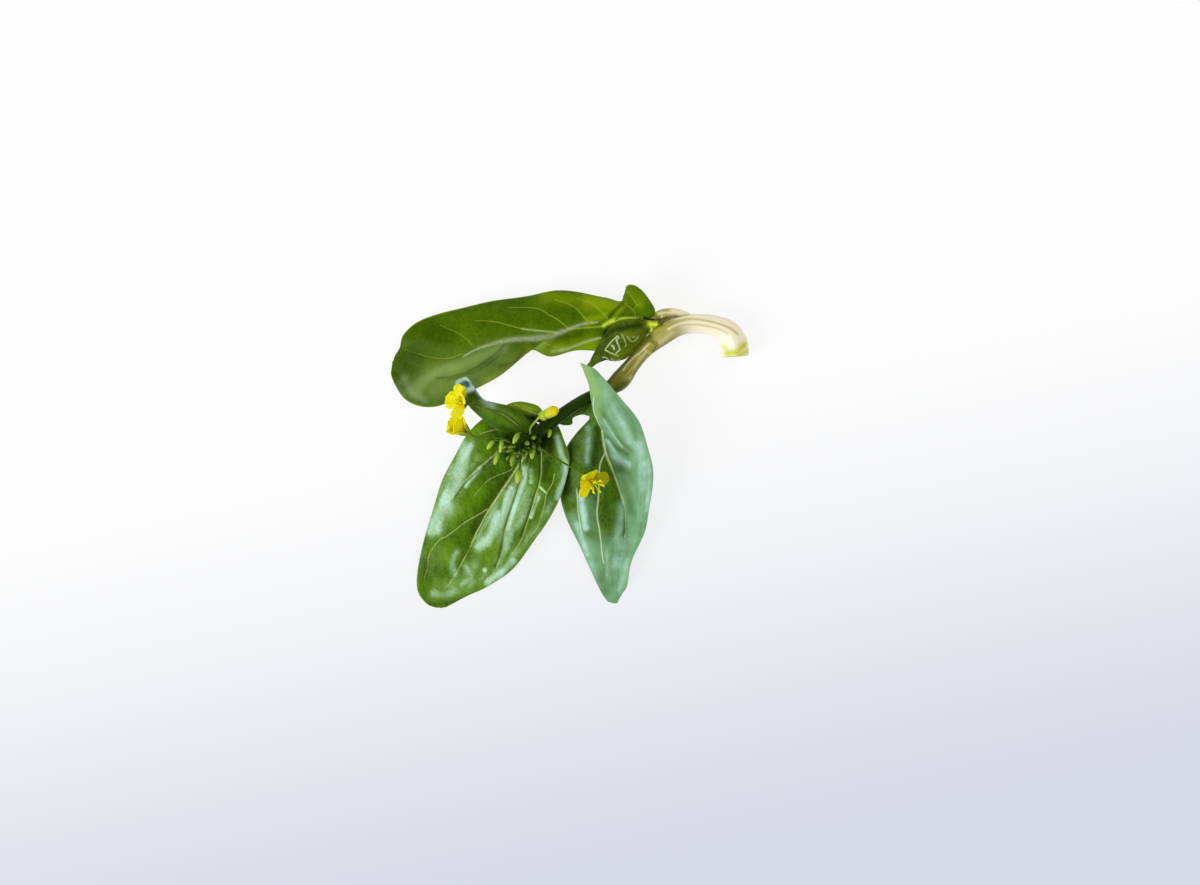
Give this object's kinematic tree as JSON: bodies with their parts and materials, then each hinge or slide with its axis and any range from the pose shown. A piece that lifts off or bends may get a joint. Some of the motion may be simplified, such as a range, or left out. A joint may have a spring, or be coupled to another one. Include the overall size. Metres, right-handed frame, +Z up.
{
  "type": "choy sum flowering shoot",
  "caption": "Cut flowering shoot of a leafy green: a bent pale stem, broad veined leaves, a cluster of buds and small yellow flowers, lying as picked.",
  "frame": {"origin": "centre of the box round the whole shoot, on the plane that it rests on", "axes": "+Z up from the resting plane, +X towards the bend and cut end of the stem, -Y towards the tips of the two long leaves"},
  "size_m": [0.1505, 0.1352, 0.0353],
  "materials": {
    "stem": "moist ribbed stem skin, cream at the cut end, olive and dark green further up",
    "bud_cluster": "smooth green buds and stalks",
    "leaf_large": "glossy veined leaf",
    "leaf_left": "glossy veined leaf with pale veins",
    "leaf_right": "waxy bluish green leaf with a pale midrib",
    "leaf_pointed": "dark glossy rumpled leaf",
    "leaf_curled": "glossy young leaf",
    "leaf_back": "glossy young leaf",
    "petals": "satin yellow petals"
  },
  "bodies": {
    "root": {"stem": "stem", "bud_cluster": "bud_cluster", "leaf_large": "leaf_large", "leaf_left": "leaf_left", "leaf_right": "leaf_right", "leaf_pointed": "leaf_pointed", "leaf_curled": "leaf_curled", "leaf_back": "leaf_back", "flower_upper": "petals", "flower_lower": "petals", "flower_right": "petals", "opening_bud": "petals"}
  },
  "joints": []
}
